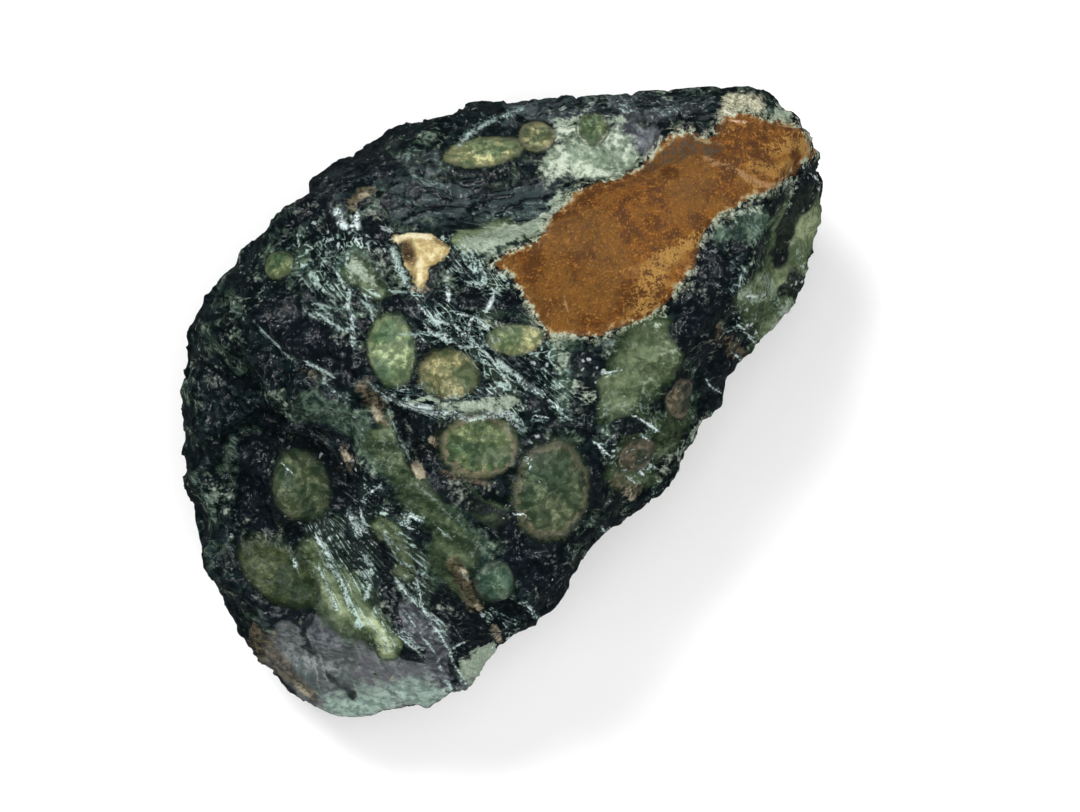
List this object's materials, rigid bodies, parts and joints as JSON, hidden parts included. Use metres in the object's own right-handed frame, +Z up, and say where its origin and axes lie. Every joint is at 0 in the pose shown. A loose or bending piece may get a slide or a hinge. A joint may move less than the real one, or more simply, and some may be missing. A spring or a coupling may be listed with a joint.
{
  "type": "rough kambaba jasper stone",
  "caption": "Rough, freshly broken chunk of kambaba jasper, wedge-like, with flat fractures, curved flake scars and a flat rust-stained face.",
  "frame": {"origin": "bottom centre of the stone's bounding box, on the level foot that it stands on", "axes": "+Z up, out of the broad face with the rust stain and the orbs; seen from above, the narrow rust-stained tip points to +X and +Y and the pale toe to -X and -Y"},
  "size_m": [0.0416, 0.042, 0.025],
  "materials": {
    "jasper": "freshly broken dark green-black jasper with olive orbs, partly glossy as if oiled, with one flat face stained orange-brown by rust"
  },
  "bodies": {
    "root": {"jasper_stone": "jasper"}
  },
  "joints": []
}
